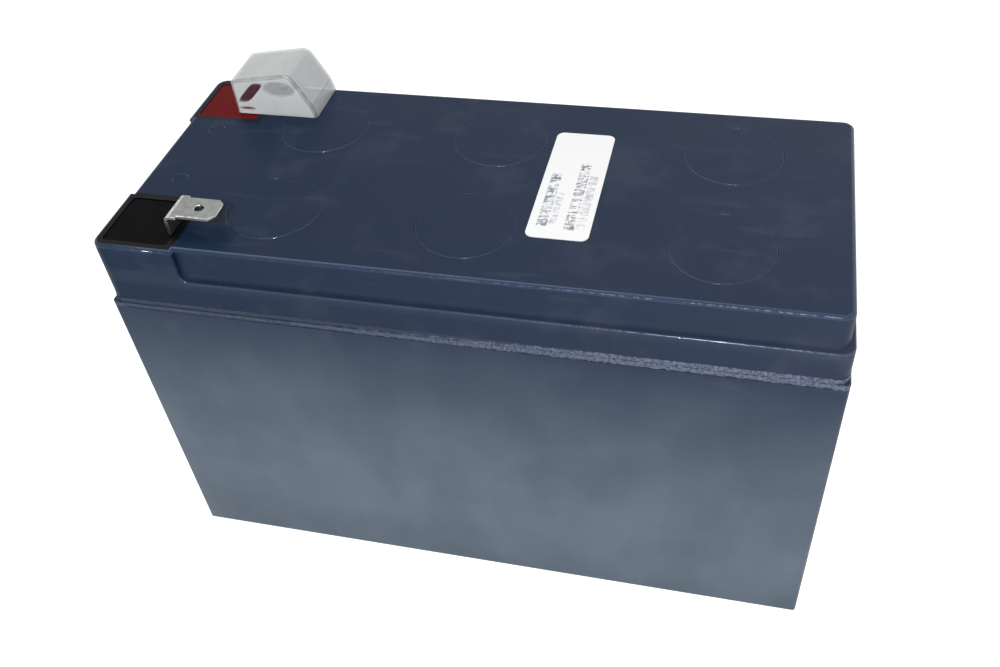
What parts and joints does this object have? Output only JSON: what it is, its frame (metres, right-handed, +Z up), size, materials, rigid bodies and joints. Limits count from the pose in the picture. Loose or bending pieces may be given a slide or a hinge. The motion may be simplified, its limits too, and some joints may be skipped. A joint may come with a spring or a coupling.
{
  "type": "ups battery cartridge",
  "caption": "Sealed lead-acid battery block for a backup power supply: boxed cells under a stepped lid with flush round vent covers and push-on blade terminals, one under a clear hood.",
  "frame": {"origin": "middle of the underside, on the surface that the battery stands on", "axes": "+X along the case away from the terminals, -Y towards the front long side with the negative terminal, +Z up"},
  "size_m": [0.151, 0.065, 0.104],
  "materials": {
    "case_plastic": "dark slate blue moulded ABS, satin with faint scuffs",
    "seam_resin": "rough squeezed-out bonding resin, greyer than the case",
    "valve_rubber": "black rubber",
    "label_film": "white sticker, satin",
    "hood_plastic": "milky clear thin plastic",
    "blade_metal": "tin plated, satin silver",
    "lead": "dull cast lead",
    "negative_resin": "black poured resin",
    "positive_resin": "red poured resin",
    "positive_paste": "dark brown lead paste on a cast grid",
    "negative_paste": "grey sponge lead on a cast grid",
    "glass_mat": "white glass fibre mat"
  },
  "bodies": {
    "root": {"container": "case_plastic", "lid": "case_plastic", "seam_sealant": "seam_resin", "vent_cover_1": "case_plastic", "vent_cover_2": "case_plastic", "vent_cover_3": "case_plastic", "vent_cover_4": "case_plastic", "vent_cover_5": "case_plastic", "vent_cover_6": "case_plastic", "vent_valve_1": "valve_rubber", "vent_valve_2": "valve_rubber", "vent_valve_3": "valve_rubber", "vent_valve_4": "valve_rubber", "vent_valve_5": "valve_rubber", "vent_valve_6": "valve_rubber", "label": "label_film", "terminal_hood": "hood_plastic", "negative_tab": "blade_metal", "negative_post": "lead", "negative_seal": "negative_resin", "positive_tab": "blade_metal", "positive_post": "lead", "positive_seal": "positive_resin", "positive_plates_1": "positive_paste", "positive_plates_2": "positive_paste", "positive_plates_3": "positive_paste", "positive_plates_4": "positive_paste", "positive_plates_5": "positive_paste", "positive_plates_6": "positive_paste", "negative_plates_1": "negative_paste", "negative_plates_2": "negative_paste", "negative_plates_3": "negative_paste", "negative_plates_4": "negative_paste", "negative_plates_5": "negative_paste", "negative_plates_6": "negative_paste", "separators_1": "glass_mat", "separators_2": "glass_mat", "separators_3": "glass_mat", "separators_4": "glass_mat", "separators_5": "glass_mat", "separators_6": "glass_mat", "cell_link_1": "lead", "cell_link_2": "lead", "cell_link_3": "lead", "cell_link_4": "lead", "cell_link_5": "lead"}
  },
  "joints": []
}
